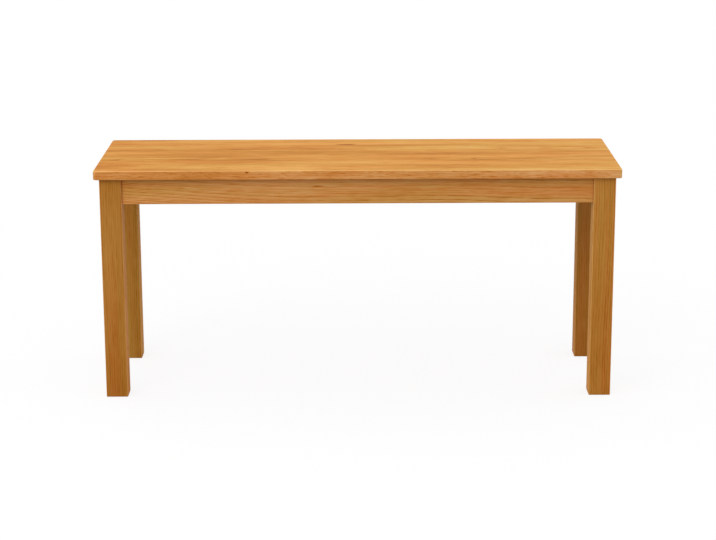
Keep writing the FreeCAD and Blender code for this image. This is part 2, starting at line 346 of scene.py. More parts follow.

# %% [markdown]
# ## The lacquered finish
# The honey colour is the wood's own tone under a clear satin lacquer. It could be one flat brown, but real
# boards are never even, so a ramp turns tone into colour, from pale summer wood to dark spring wood.
# Rounded edges are painted paler, partly as rubbed wear and partly as a painted highlight, so the upper
# ones, where light from above falls, are palest. The surface normal finds them, since it tilts only on a
# rounded edge. End grain soaks up more finish and is darker.

# %% Honey finish
honey = {
    "stops": [
        (0.00, (0.797, 0.416, 0.111)),
        (0.35, (0.678, 0.272, 0.045)),
        (0.65, (0.535, 0.170, 0.0155)),
        (1.00, (0.310, 0.076, 0.004)),
    ],
    "pores": (0.120, 0.036, 0.008, 1.0),
    # Pale colour of rubbed edges, also a painted highlight on the rounded edges.
    "edges": (0.950, 0.600, 0.290, 1.0),
    "roughness": 0.56,
    "gloss": 0.05,
}
end_grain_shade = (0.62, 0.55, 0.50, 1.0)
print("honey finish:", len(honey["stops"]), "tones from pale to dark")

# %% Faces and edges of a board
# Each range says how straight a normal points along an axis where an effect starts and where it is full.
edge_range = (0.99, 0.78)
front_range = (0.80, 0.99)
end_range = (0.75, 0.97)
upper_edge_lean = 0.3
# Upright and lower edges get this share of the pale colour; the painted highlight is fullest on upper edges.
other_edge_share = 0.35


# Mask for the pale edge colour: rubbed wear together with a painted highlight, fullest on upper edges.
def rubbed_and_highlit_edges(normal):
    """0 on a board's flat faces, up to 1 half way round an upper edge, and less on its other edges."""
    upward_share = normal.parts()[2].ramp(0.0, upper_edge_lean, other_edge_share, 1.0)
    x, y, z = [part.math("ABSOLUTE") for part in normal.parts()]
    return x.math("MAXIMUM", y.math("MAXIMUM", z)).ramp(*edge_range) * upward_share


def on_front(normal):
    """1 on faces that look straight to the front or the back."""
    return normal.parts()[1].math("ABSOLUTE").ramp(*front_range)


def end_grain(normal, turn):
    """1 on the sawn ends of a board."""
    grain = Euler(turn).to_matrix() @ Vector((1, 0, 0))
    return normal.vector("DOT_PRODUCT", grain, output="Value").math("ABSOLUTE").ramp(*end_range)


# Upper edges are palest because they carry a painted highlight as well as rubbed wear.
print("upright and lower edges are rubbed", other_edge_share, "times as pale as upper ones")

# %% [markdown]
# ## From grain to colour
# Rows of open vessels hold shadow and stain, so spring wood is darker. Each ring, streak, fibre and mark
# moves the tone of a place, and the finish turns the sum into colour. Pores are dark dashes that dent the
# surface. Every board could share one material, but then the grain would run on from board to board, so
# each gets its own part of a tree and its own wandering tint.

# %% Marks and hues
redder = (1.04, 0.95, 0.94)
yellower = (0.97, 1.03, 0.97)
hue_seed_step = 23
hue_range = (0.35, 0.65)
mark_core = 0.35
mark_raggedness = 1.2


def spot(board, mark, seed):
    """How dark a knot or fleck is at a place. Its rim is ragged."""
    ragged = (layer(board, "ragged", seed) - 0.5) * mark_raggedness
    return (away_from(board, mark) + ragged).ramp(mark_core, 1.0, mark["strength"], 0.0)


def shaded(tint, shade, amount):
    """A tint, moved by some amount of a shade."""
    return (*[part * (1 + (change - 1) * amount) for part, change in zip(tint, shade)], 1)


def tinted(board, colour, look, seed):
    wander = streaks(board, seed, look["strips"], hue_seed_step).ramp(*hue_range)
    red, yellow = [shaded(look["tint"], shade, look["hues"]) for shade in (redder, yellower)]
    tint = board.node("ShaderNodeMix", {0: wander, 6: red, 7: yellow}, output=2, data_type="RGBA")
    return colour.mixed(tint, 1.0, "MULTIPLY")


print("hues wander between", redder, "and", yellower)

# %% Wood of one board
plain_look = {"tone": 0.0, "fade": 0.0, "mark": None, "bands": 0.4, "fibres": 0.55, "eased": 0.35}
plain_look |= {"tint": (1, 1, 1), "hues": 1.0, "strips": (3.0, 22, 22)}
# front_painted_light multiplies only front and back faces: painted light that sets them apart from the rest.
plain_look |= {"front_painted_light": (1, 1, 1), "front_flecks": 0.0}
middle_tone = 0.25
cloud_weight = 0.5
spring_onset, spring_fade = 0.07, 2.5
closed_row, open_row = 0.4, 0.8
weak_year, year_spread = 0.35, 1.1
year_seed_step = 13.7
vessel_range = (0.40, 0.62)
pore_range = (0.58, 0.70)
ray_range = (0.52, 0.66)
summer_pores = 0.2
pore_stain = 0.25
fibre_height, spring_dip = 0.35, 0.25
pore_dullness, fibre_dullness = 0.20, 0.12
grain_bump = {"Strength": 0.35, "Distance": 0.00012}


def spring_wood(board, years, seed):
    """How much of a place is spring wood: it sets in at once each year, then fades."""
    season = years.math("FRACT")
    rows = closed_row + open_row * layer(board, "vessels", seed).ramp(*vessel_range)
    return season.ramp(0.0, spring_onset) * (1 - season) ** spring_fade * rows


def wood_tone(board, cut, look, seed, years, spring, fibres):
    """How dark the wood is at a place: the board's tone, its rings, streaks and mark."""
    year = {"W": years.math("FLOOR") + seed * year_seed_step}
    strength = board.node("ShaderNodeTexWhiteNoise", year, noise_dimensions="1D")
    # fade makes the tone darker towards one end of the board, along its grain.
    tone = board.parts()[0] * look["fade"] + (middle_tone + look["tone"])
    tone = tone + spring * cut["contrast"] * (weak_year + year_spread * strength)
    tone = tone + (layer(board, "clouds", seed) - 0.5) * cloud_weight
    tone = tone + (layer(board, "bands", seed) - 0.5) * look["bands"] + fibres * look["fibres"]
    return tone + spot(board, look["mark"], seed) if look["mark"] else tone


def wood(name, finish, centre, turn, cut, seed, **changes):
    """Solid wood under a finish, for one board. Its look is the plain one with some changes."""
    look = plain_look | changes
    material = bpy.data.materials.new(name)
    start = empty_tree(material)
    normal = start.node("ShaderNodeNewGeometry", output="Normal")
    board = board_space(start, centre, turn)
    years = year_rings(board, cut, seed, look["mark"])
    spring = spring_wood(board, years, seed)
    fibres = layer(board, "fibres", seed) - 0.5
    pores = layer(board, "pores", seed).ramp(*pore_range) * (summer_pores + (1 - summer_pores) * spring)
    tone = wood_tone(board, cut, look, seed, years, spring, fibres)
    if look["front_flecks"]:
        ray_ends = layer(board, "ray_ends", seed).ramp(*ray_range)
        tone = tone + ray_ends * on_front(normal) * look["front_flecks"]
    colour = start.node("ShaderNodeValToRGB", {"Fac": tone}, stops=finish["stops"])
    colour = tinted(board, colour, look, seed).mixed(finish["pores"], pores * pore_stain)
    # Painted light: front and back faces get their own tint.
    if look["front_painted_light"] != plain_look["front_painted_light"]:
        colour = colour.mixed((*look["front_painted_light"], 1.0), on_front(normal), "MULTIPLY")
    # Painted highlight and rubbed wear: rounded edges are mixed towards the pale edge colour.
    colour = colour.mixed(finish["edges"], rubbed_and_highlit_edges(normal) * look["eased"])
    colour = colour.mixed(end_grain_shade, end_grain(normal, turn), "MULTIPLY")
    height = fibres * fibre_height - pores - spring * spring_dip
    inputs = {"Base Color": colour, "Specular IOR Level": finish["gloss"]}
    inputs["Roughness"] = finish["roughness"] + pores * pore_dullness + fibres * fibre_dullness
    inputs["Normal"] = start.node("ShaderNodeBump", grain_bump | {"Height": height})
    set_surface(start, "ShaderNodeBsdfPrincipled", inputs)
    return material


print("a board's look can change in", ", ".join(plain_look))

# %% [markdown]
# ## Shaping boards
# A joiner saws a board, planes it, eases its edges and drills it. It could be modelled face by face, but
# the same steps work here: a box in a bmesh, a bevel on chosen edges, then boolean cuts. Round bevels need
# smooth shading, and the wide flats beside them must stay flat, so a Weighted Normal modifier lets the big
# faces decide.

# %% Saw and ease
tiny = 1e-6


def box_mesh(low, high):
    board = bmesh.new()
    bmesh.ops.create_cube(board, size=1.0)
    for vert in board.verts:
        vert.co = [low[i] if vert.co[i] < 0 else high[i] for i in range(3)]
    return board


def ease(board, edges, radius, segments):
    """Rounds over some edges of a board, or chamfers them with one segment."""
    settings = {"offset": radius, "offset_type": "OFFSET", "segments": segments, "profile": 0.5}
    bmesh.ops.bevel(board, geom=edges, affect="EDGES", clamp_overlap=False, **settings)


def upright_edges(board):
    return [e for e in board.edges if abs(e.verts[0].co.z - e.verts[1].co.z) > tiny]


def level_edges(board, height):
    return [e for e in board.edges if all(abs(v.co.z - height) < tiny for v in e.verts)]


print("edges within", 1000 * tiny, "mm of a height count as level")

# %% Cut and finish
sharp_degrees = 35.0


def held(name, board):
    """An object in the scene that takes over a bmesh."""
    mesh = bpy.data.meshes.new(name)
    board.to_mesh(mesh)
    board.free()
    return placed(name, mesh)


def plain_mesh(name, holder):
    """An object's mesh with its modifiers applied. The modifiers and the object are then removed."""
    mesh = bpy.data.meshes.new_from_object(holder.evaluated_get(bpy.context.evaluated_depsgraph_get()))
    mesh.name = name
    holder.modifiers.clear()
    bpy.data.objects.remove(holder)
    return mesh


def carved(board, cutters):
    """A board with the volumes of other bmeshes cut away."""
    holder, *tools = [held("uncut", part) for part in [board] + cutters]
    for tool in tools:
        cut = holder.modifiers.new("cut", "BOOLEAN")
        cut.operation = "DIFFERENCE"
        cut.solver = "EXACT"
        cut.object = tool
    result = bmesh.new()
    result.from_mesh(plain_mesh("carved", holder))
    for tool in tools:
        bpy.data.objects.remove(tool)
    return result


def finished_mesh(name, board):
    """Turns a bmesh into a mesh whose eased edges shade smoothly and whose flats stay flat."""
    bmesh.ops.recalc_face_normals(board, faces=board.faces)
    holder = held(name + "_rough", board)
    rough = holder.data
    rough.polygons.foreach_set("use_smooth", [True] * len(rough.polygons))
    rough.set_sharp_from_angle(angle=math.radians(sharp_degrees))
    holder.modifiers.new("flats_win", "WEIGHTED_NORMAL").keep_sharp = True
    return plain_mesh(name, holder)


def add_piece(mesh, material, node):
    """Puts a finished mesh in the scene in place of a CAD node."""
    mesh.materials.clear()
    mesh.materials.append(material)
    piece = placed(mesh.name, mesh)
    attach(piece, "root")
    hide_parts(node)
    print(piece.name, len(mesh.polygons), "faces")


print("edges that turn by more than", sharp_degrees, "degrees stay sharp")

# %% [markdown]
# ## Where the fasteners are
# Bolts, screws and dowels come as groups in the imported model, without a list of places. The places could be
# typed in again, but the model already knows them. So each group is split into its loose bodies, and each
# body tells where it starts, which way it points and how long it is. The same list drills the boards.

# %% Bodies of a group
axis_share = 0.3


def cad_copy(node):
    """A CAD node as a bmesh without double points."""
    copy = bmesh.new()
    copy.from_mesh(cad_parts[node].data)
    bmesh.ops.remove_doubles(copy, verts=copy.verts, dist=tiny)
    return copy


def loose_bodies(node):
    """The corner points of every separate body in a CAD node, from left to right."""
    group = cad_copy(node)
    waiting = dict.fromkeys(group.verts)
    bodies = []
    while waiting:
        body = [waiting.popitem()[0]]
        for vert in body:
            near = [edge.other_vert(vert) for edge in vert.link_edges]
            fresh = [other for other in near if other in waiting]
            for other in fresh:
                del waiting[other]
            body += fresh
        bodies.append(np.array([vert.co[:] for vert in body]))
    group.free()
    return sorted(bodies, key=lambda points: tuple(points.mean(0).round(5)))


def long_axis(points, middle):
    """The way a long body points, from its wide end. Every fastener lies along an axis or a diagonal."""
    axis = np.linalg.svd(points - points.mean(0), full_matrices=False)[2][0]
    axis = np.sign(axis) * (abs(axis) > axis_share)
    axis = axis / np.linalg.norm(axis) * np.sign(axis.sum() + tiny)
    along = (points - middle) @ axis
    off = np.linalg.norm(points - middle - np.outer(along, axis), axis=1)
    wide_end_last = off[along > 0].max() > off[along < 0].max() + tiny
    return -axis if wide_end_last else axis


print("the bolts are", len(loose_bodies("leg_bolts")), "loose bodies")


# %% Places of the fasteners
def places(node, guides=None):
    """(start, direction, length) of a node's bodies. Short bodies point the way of the nearest guide."""
    rows = []
    for points in loose_bodies(node):
        middle = (points.min(0) + points.max(0)) / 2
        if guides:
            axis = min(guides, key=lambda guide: np.linalg.norm(guide[0] - middle))[1]
        else:
            axis = long_axis(points, middle)
        along = (points - middle) @ axis
        rows.append((middle + axis * along.min(), axis, np.ptp(along)))
    return rows


found = {node: places(node) for node in ("leg_bolts", "block_screws", "seat_screws", "rail_dowels")}
for node in ("flat_washers", "spring_washers", "leg_insert_nuts"):
    found[node] = places(node, found["leg_bolts"])
for node, rows in found.items():
    print(len(rows), node, "about", round(1000 * rows[0][2], 1), "mm long")

# %% [markdown]
# ## Drilling
# Every board is drilled where a fastener enters it. The holes could be left out, since the fasteners fill
# them, but the boards would then overlap the steel. The drill is a little longer than its hole, so that none
# of its faces lies exactly on the board's, which a boolean cut handles badly.

# %% Drill
drill_overshoot = 0.002
drill_sides = 24
screw_hole_radius = 0.0021
bolt_hole_radius = 0.0031


def level_radius(node):
    """Half the height of one level fastener, which is its radius."""
    low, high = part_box(node)
    heights = [row[0][2] for row in found[node]]
    return (high.z - low.z - (max(heights) - min(heights))) / 2


def drill(start, direction, length, radius):
    rod = bmesh.new()
    middle = Vector(start + direction * (length - drill_overshoot) / 2)
    stand = Vector(direction).to_track_quat("Z", "Y").to_matrix().to_4x4()
    settings = {"cap_ends": True, "segments": drill_sides, "radius1": radius, "radius2": radius}
    settings["depth"] = length + drill_overshoot
    bmesh.ops.create_cone(rod, matrix=Matrix.Translation(middle) @ stand, **settings)
    return rod


def holes_in(low, high):
    """The drills for all the fasteners that start or end inside a board's box."""
    drills = []
    for node, radius in hole_radii.items():
        for start, direction, length in found[node]:
            ends = [start + direction * tiny, start + direction * length]
            if any(all(low[i] < end[i] < high[i] for i in range(3)) for end in ends):
                drills.append(drill(start, direction, length, radius))
    return drills


hole_radii = {
    "leg_insert_nuts": level_radius("leg_insert_nuts"),
    "leg_bolts": bolt_hole_radius,
    "block_screws": screw_hole_radius,
    "seat_screws": screw_hole_radius,
    "rail_dowels": level_radius("rail_dowels"),
}
print("insert nut holes", round(2000 * hole_radii["leg_insert_nuts"], 2), "mm wide")

# %% [markdown]
# ## The seat
# The seat is five staves glued edge to edge. Each could be shaped by itself, but in the workshop the slab is
# glued up first and its edges are moulded afterwards. So one slab is rounded here, then sawn into staves
# along the glue lines. Each stave gets its own piece of tree, which is what shows the joints.

# %% Seat slab
seat_corner_radius = 0.007
seat_top_round = 0.003
seat_bottom_round = 0.0015
stave_nodes = sorted(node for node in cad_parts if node.startswith("seat_stave_"))


def seat_slab(low, high):
    slab = box_mesh(low, high)
    ease(slab, upright_edges(slab), seat_corner_radius, segments=10)
    ease(slab, level_edges(slab, high.z), seat_top_round, segments=6)
    ease(slab, level_edges(slab, low.z), seat_bottom_round, segments=4)
    return slab


slab_low = Vector(map(min, *[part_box(node)[0] for node in stave_nodes]))
slab_high = Vector(map(max, *[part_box(node)[1] for node in stave_nodes]))
whole_slab = seat_slab(slab_low, slab_high)
print("the slab for", len(stave_nodes), "staves has", len(whole_slab.faces), "faces")

# %% Seat staves
stave_seed = 20
pin_knot = {"middle": (-0.022, -0.027, 0.009), "reach": (0.028, 0.0050, 0.020), "strength": 0.8}
front_fleck = {"middle": (-0.209, -0.032, 0.0052), "reach": (0.0040, 0.004, 0.0024), "strength": 0.7}
# The staves' front and back faces are painted less saturated than their tops, as painted light.
stave_look = {"tint": (0.975, 1.02, 0.93), "front_painted_light": (1.01, 0.96, 1.56), "front_flecks": 0.27}
# eased: how much pale edge colour, wear with a painted highlight, the staves' rounded edges get.
stave_look |= {"eased": 0.48, "bands": 1.4, "fibres": 0.95, "hues": 0.7}
upper_log = flat_sawn | {"pith": (-0.010, -0.055), "drift": (0.003, -0.022)}
stave_looks = [
    {"cut": rift_sawn, "tone": -0.03, "fade": -0.06, "mark": front_fleck},
    {"cut": flat_sawn | {"pith": (0.012, -0.060)}, "tone": 0.0, "fade": -0.10},
    {"cut": quarter_sawn, "tone": 0.04, "fade": -0.04},
    {"cut": upper_log, "tone": -0.05, "fade": -0.22},
    {"cut": rift_sawn | {"pith": (-0.080, -0.060)}, "tone": -0.01, "fade": -0.18, "mark": pin_knot},
]


def sawn_stave(low, high):
    """The part of the slab between two glue lines, with its sawn faces closed."""
    stave = whole_slab.copy()
    for place, outward in ((low.y, -1), (high.y, 1)):
        everything = stave.verts[:] + stave.edges[:] + stave.faces[:]
        plane = {"plane_co": (0, place, 0), "plane_no": (0, outward, 0)}
        bmesh.ops.bisect_plane(stave, geom=everything, dist=tiny, clear_outer=True, **plane)
        bmesh.ops.holes_fill(stave, edges=[e for e in stave.edges if e.is_boundary], sides=0)
    return [stave]


def add_boards(looks, shared_look, make_parts, slot, seed, finish=honey):
    """Makes boards, takes off their waste, drills them and finishes them with the grain the long way."""
    for number, (node, look) in enumerate(looks.items()):
        low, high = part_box(node)
        board, *waste = make_parts(low, high)
        board = carved(board, waste + holes_in(low, high))
        sides = list(high - low)
        turn = turns["xyz"[sides.index(max(sides))]]
        look = shared_look | look
        oak = wood(f"{slot}_{number + 1}", finish, (low + high) / 2, turn, seed=seed + number, **look)
        add_piece(finished_mesh(f"oak_{node}", board), oak, node)


add_boards(dict(zip(stave_nodes, stave_looks)), stave_look, sawn_stave, "seat_oak", stave_seed)
whole_slab.free()

# %% [markdown]
# ## Legs
# Each leg is a square post with eased edges, straight in the grain so that it doesn't warp. Its sides are
# painted paler and less saturated than its front and back, a painted light that stands for brighter
# light on the sides. A flat is sawn on its inner corner beside the aprons, for the bolts to bear square.
# It could be modelled corner by corner, but boolean cuts follow the saw and the drill.

# %% Legs
leg_edge_round = 0.002
foot_chamfer = 0.001
leg_flat_width = 0.017
apron_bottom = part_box("apron_front")[0].z
leg_seed = 40
leg_pith_depth = 0.075
leg_finish = honey | {"gloss": 0.02}
# Painted light: legs' fronts darker than sides; edges get pale colour, wear plus painted highlight.
leg_look = {"front_painted_light": (0.725, 0.641, 0.465), "bands": 0.3, "fibres": 0.42, "eased": 0.5}
leg_look |= {"hues": 1.3, "strips": (1.0, 60, 60)}


def leg_cut(pith_across):
    return rift_sawn | {"pith": (pith_across, leg_pith_depth)}


# Each tint gives a leg's sides, painted paler and less saturated than its front, as painted light.
leg_looks = {
    "leg_back_left": {"cut": leg_cut(0.06), "tone": 0.24, "tint": (1.05, 1.42, 2.47)},
    "leg_back_right": {"cut": leg_cut(0.07), "tone": 0.24, "tint": (0.98, 1.29, 2.62)},
    "leg_front_left": {"cut": leg_cut(0.08), "tone": 0.26, "tint": (1.08, 1.34, 2.62)},
    "leg_front_right": {"cut": leg_cut(0.09), "tone": 0.22, "tint": (1.16, 1.54, 3.01)},
}


def leg_flat_waste(low, high):
    """A post turned by 45 degrees that stands on a leg's inner corner, from the aprons' lower edge up."""
    inward = Vector((-math.copysign(1, low.x), -math.copysign(1, low.y), 0))
    corner = (low + high) / 2 + inward * (high.x - low.x) / 2
    side = leg_flat_width * 2
    waste = box_mesh((-side, -side, apron_bottom), (side, side, high.z + side))
    centre = Vector((corner.x, corner.y, 0)) + inward.normalized() * (side - leg_flat_width / 2)
    turned = Matrix.Translation(centre) @ Matrix.Rotation(math.pi / 4, 4, "Z")
    bmesh.ops.transform(waste, matrix=turned, verts=waste.verts)
    return waste


def leg_post(low, high):
    post = box_mesh(low, high)
    ease(post, upright_edges(post), leg_edge_round, segments=5)
    ease(post, level_edges(post, low.z), foot_chamfer, segments=1)
    return [post, leg_flat_waste(low, high)]


add_boards(leg_looks, leg_look, leg_post, "leg_oak", leg_seed, leg_finish)

# %% [markdown]
# ## Aprons
# The aprons are boards on edge, set back from the legs' faces. Their lower and upright edges are eased, and
# the top edge stays square under the seat. All four could be cut from one kind of board, but the front one
# has its own figure: its log bends a little, so the lines fall away on the left and run level on the right,
# and they part round one small bud mark.

# %% Aprons
apron_edge_round = 0.0015
apron_seed = 60
apron_look = {"tone": -0.08, "tint": (0.88, 0.89, 1.16), "fibres": 0.8, "hues": 1.05}
apron_look |= {"strips": (3.0, 45, 45)}
bud_mark = {"middle": (-0.076, -0.009, 0.009), "reach": (0.016, 0.020, 0.0022), "strength": 0.5}
bent_log = {"pith": (0.06, -0.13), "drift": (0.004, -0.0225), "bend": 0.036, "ring": 0.0050}
bent_log |= {"contrast": 0.50, "sway": 0.020}
wide_log = {"pith": (-0.045, 0.050), "drift": (-0.008, 0.020), "ring": 0.0038}
apron_looks = {
    "apron_front": {"cut": rift_sawn | bent_log, "mark": bud_mark},
    "apron_back": {"cut": flat_sawn | wide_log},
    "apron_left": {"cut": flat_sawn | {"pith": (-0.050, 0.040), "drift": (0.010, 0.030)}},
    "apron_right": {"cut": flat_sawn | {"pith": (0.048, -0.046), "drift": (0.010, 0.030)}},
}


def apron_board(low, high):
    board = box_mesh(low, high)
    ease(board, upright_edges(board) + level_edges(board, low.z), apron_edge_round, segments=4)
    return [board]


add_boards(apron_looks, apron_look, apron_board, "apron_oak", apron_seed)

# %% [markdown]
# ## Corner blocks and centre rail
# Nobody looks under the seat, so the blocks and the rail are plain planed wood without lacquer. They could
# be built from boxes and drilled, but their shapes with all the holes are already right in the packed
# model. So a copy is merged into a clean mesh, its long edges are broken as with a stroke of sandpaper, and
# it gets a paler, drier wood.

# %% Inner wood
inner_edge_round = 0.0006
shortest_eased_edge = 0.012
flat_within_degrees = 1
inner_seed = 80
inner_cut = flat_sawn | {"contrast": 0.35}
inner_pith = (0.03, -0.05)
inner_pith_step = -0.01
# eased: a little pale edge colour on the broken edges, wear with a painted highlight.
inner_look = {"eased": 0.2}
bare_wood = {
    "stops": [
        (0.00, (0.720, 0.520, 0.310)),
        (0.40, (0.640, 0.440, 0.240)),
        (0.70, (0.540, 0.340, 0.170)),
        (1.00, (0.360, 0.200, 0.085)),
    ],
    "pores": (0.200, 0.105, 0.042, 1.0),
    "edges": (0.730, 0.560, 0.370, 1.0),
    "roughness": 0.78,
    "gloss": 0.12,
}
inner_nodes = sorted(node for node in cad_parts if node.startswith("corner_block_")) + ["centre_rail"]


def planed_copy(node):
    """A copy of a CAD node with its long edges broken."""
    copy = cad_copy(node)
    flat = math.radians(flat_within_degrees)
    bmesh.ops.dissolve_limit(copy, angle_limit=flat, verts=copy.verts, edges=copy.edges)
    turned = [e for e in copy.edges if e.calc_face_angle(0) > math.radians(sharp_degrees)]
    ease(copy, [e for e in turned if e.calc_length() > shortest_eased_edge], inner_edge_round, segments=2)
    return copy


for number, node in enumerate(inner_nodes):
    middle = sum(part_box(node), Vector()) / 2
    across = math.copysign(math.pi / 4, -middle.x * middle.y)
    turn = turns["y"] if node == "centre_rail" else (0, 0, across)
    cut = inner_cut | {"pith": (inner_pith[0] + inner_pith_step * number, inner_pith[1])}
    bare = wood(f"inner_wood_{number + 1}", bare_wood, middle, turn, cut, inner_seed + number, **inner_look)
    add_piece(finished_mesh(f"planed_{node}", planed_copy(node)), bare, node)

# %% [markdown]
# ## A lathe in Geometry Nodes
# Bolts, nuts, washers, screws and dowels are turned shapes, fifty-nine in all. Each could be copied by
# hand, but one tree design makes them all: a grid is rolled up so that its rows follow a profile and its
# columns go round. One stretch of rows may carry grooves, a thread or flutes. Recesses are boolean cuts. The
# shape is set on points that carry a direction, each rolled by a random angle with a fixed seed.

# %% Roll up a profile
seam_gap = 1e-5
full_turn = 2 * math.pi
groove_run_out = 0.06


def point(start, **parts):
    return start.node("ShaderNodeCombineXYZ", parts)


def rolled_up(start, before, columns, stretch=0.0, after=(), rows=0, grooves=None):
    """A turned surface. Its profile runs through before, along the grooved stretch and through after."""
    corners = before + [(radius, height - stretch) for radius, height in after]
    grid = {"Size X": 1.0, "Size Y": 1.0, "Vertices X": len(corners) + rows, "Vertices Y": columns + 1}
    sheet = start.node("GeometryNodeMeshGrid", grid)
    index = start.node("GeometryNodeInputIndex")
    row = ((index + 0.5) / (columns + 1)).math("FLOOR")
    turn = (index - row * (columns + 1)) / columns
    done = (row - (len(before) - 1)).math("MAXIMUM", 0.0).math("MINIMUM", rows)
    choices = {"Index": row - done}
    for number, (radius, height) in enumerate(corners):
        choices[str(number)] = point(start, X=radius, Z=height)
    profile = start.node("GeometryNodeIndexSwitch", choices, data_type="VECTOR", items=len(corners))
    radius, height = profile.parts()[::2]
    if rows:
        share = done / rows
        height = height + share * stretch
        fade = share.ramp(0.0, groove_run_out), share.ramp(1.0, 1 - groove_run_out)
        radius = radius - grooves(height, turn) * fade[0] * fade[1]
    angle = turn * full_turn
    place = point(start, X=radius * angle.math("COSINE"), Y=radius * angle.math("SINE"), Z=height)
    shape = start.node("GeometryNodeSetPosition", {"Geometry": sheet, "Position": place})
    shape = start.node("GeometryNodeFlipFaces", {0: shape})
    return start.node("GeometryNodeMergeByDistance", {"Geometry": shape, "Distance": seam_gap})


def wave(phase):
    """0 at whole numbers, 1 half way between them."""
    return 1 - (phase.math("FRACT") * 2 - 1).math("ABSOLUTE")


def thread(given, height, turn):
    """How deep a thread's groove is at a place on a rod."""
    return wave(height / given["Thread pitch"] - turn) * given["Thread depth"]


def cut_away(body, tool):
    both = {"Mesh 1": body, "Mesh 2": tool}
    return body.node("GeometryNodeMeshBoolean", both, operation="DIFFERENCE")


print("the lathe closes its seams within", 1000 * seam_gap, "mm")


# %% Shade it and set it on points
def smoothed(start, shape):
    """Shades a turned shape smoothly, apart from its sharp edges."""
    shape = start.node("GeometryNodeSetShadeSmooth", {0: shape, "Shade Smooth": True})
    bend = start.node("GeometryNodeInputMeshEdgeAngle", output="Unsigned Angle")
    sharp = bend.math("GREATER_THAN", math.radians(sharp_degrees))
    inputs = {0: shape, "Selection": sharp, "Shade Smooth": False}
    return start.node("GeometryNodeSetShadeSmooth", inputs, domain="EDGE")


def set_on_points(start, shape, points, finish, seed):
    """Sets a shape on every point, turned to the point's direction and rolled by chance, as one mesh."""
    named = {"Name": "direction"}
    direction = start.node("GeometryNodeInputNamedAttribute", named, data_type="FLOAT_VECTOR")
    stand = start.node("FunctionNodeAlignRotationToVector", {"Vector": direction}, axis="Z")
    # For plain numbers, Random Value's input 3 is the largest one and its output 1 the result.
    chance = {3: full_turn, "Seed": seed}
    angle = start.node("FunctionNodeRandomValue", chance, output=1, data_type="FLOAT")
    roll = start.node("FunctionNodeAxisAngleToRotation", {"Axis": (0, 0, 1), "Angle": angle})
    both = {"Rotation": stand, "Rotate By": roll}
    rotation = start.node("FunctionNodeRotateRotation", both, rotation_space="LOCAL")
    inputs = {"Points": points, "Instance": shape, "Rotation": rotation}
    instances = start.node("GeometryNodeInstanceOnPoints", inputs)
    solid = start.node("GeometryNodeRealizeInstances", {"Geometry": instances})
    return start.node("GeometryNodeSetMaterial", {"Geometry": solid, "Material": finish})


def fastener_tree(name, sizes, make_shape, seed):
    """A tree with named inputs for its sizes that sets one turned shape on every point."""
    tree = bpy.data.node_groups.new(name, "GeometryNodeTree")
    kinds = {"Points": "NodeSocketGeometry", "Finish": "NodeSocketMaterial", "Length": "NodeSocketFloat"}
    for size, kind in (kinds | dict.fromkeys(sizes, "NodeSocketFloat")).items():
        tree.interface.new_socket(size, in_out="INPUT", socket_type=kind)
    tree.interface.new_socket("Fasteners", in_out="OUTPUT", socket_type="NodeSocketGeometry")
    start = Flow(tree)
    group = start.node("NodeGroupInput").socket.node
    given = {socket.name: Flow(tree, socket) for socket in group.outputs}
    shape = smoothed(start, make_shape(start, given))
    fasteners = set_on_points(start, shape, given["Points"], given["Finish"], seed)
    start.node("NodeGroupOutput", {"Fasteners": fasteners})
    print(name, "tree has", len(tree.nodes), "nodes and", len(sizes), "sizes")
    return tree


def add_fasteners(name, node, tree, sizes, finish):
    """Runs a tree on the places of a CAD group, with its length, and keeps the result as a plain mesh."""
    starts, directions, lengths = zip(*found[node])
    cloud = bpy.data.meshes.new(name + "_points")
    cloud.from_pydata(starts, [], [])
    ways = cloud.attributes.new("direction", "FLOAT_VECTOR", "POINT")
    ways.data.foreach_set("vector", np.ravel(directions))
    holder = placed(name + "_points", cloud)
    modifier = holder.modifiers.new("turned", "NODES")
    modifier.node_group = tree
    inputs = {item.name: item.identifier for item in tree.interface.items_tree if item.in_out == "INPUT"}
    for size, value in (sizes | {"Length": lengths[0], "Finish": finish}).items():
        modifier[inputs[size]] = value
    add_piece(plain_mesh(name, holder), finish, node)


print(sum(map(len, found.values())), "points wait for a fastener")

# %% [markdown]
# ## Plated steel
# Ironmongery of this kind is zinc plated: bright on the bolts, duller on the nuts, yellow on the screws.
# Plain grey metal would pass for chrome, but zinc has a soft bloom, so a slow noise shifts its tint and a
# fine one its roughness.

# %% Zinc finishes
bloom_scale, bloom_range = 260.0, (0.35, 0.65)
grit_scale, grit_dullness = 2400.0, 0.25
grit_bump = {"Strength": 0.25, "Distance": 0.00004}


def plated_steel(name, plating, bloom, roughness):
    material = bpy.data.materials.new(name)
    start = empty_tree(material)
    place = start.node("ShaderNodeTexCoord", output="Object")
    clouds = start.node("ShaderNodeTexNoise", {"Vector": place, "Scale": bloom_scale, "Detail": 3.0})
    grit = start.node("ShaderNodeTexNoise", {"Vector": place, "Scale": grit_scale, "Detail": 2.0})
    stops = list(zip(bloom_range, (plating, bloom)))
    colour = start.node("ShaderNodeValToRGB", {"Fac": clouds}, stops=stops)
    inputs = {"Base Color": colour, "Metallic": 1.0, "Roughness": roughness + (grit - 0.5) * grit_dullness}
    inputs["Normal"] = start.node("ShaderNodeBump", grit_bump | {"Height": grit})
    set_surface(start, "ShaderNodeBsdfPrincipled", inputs)
    print(name, "roughness about", roughness)
    return material


bright_zinc = plated_steel("bright_zinc", (0.60, 0.61, 0.63), (0.70, 0.71, 0.72), 0.34)
dull_zinc = plated_steel("dull_zinc", (0.55, 0.53, 0.47), (0.64, 0.62, 0.56), 0.44)
yellow_zinc = plated_steel("yellow_zinc", (0.68, 0.54, 0.28), (0.66, 0.58, 0.40), 0.36)

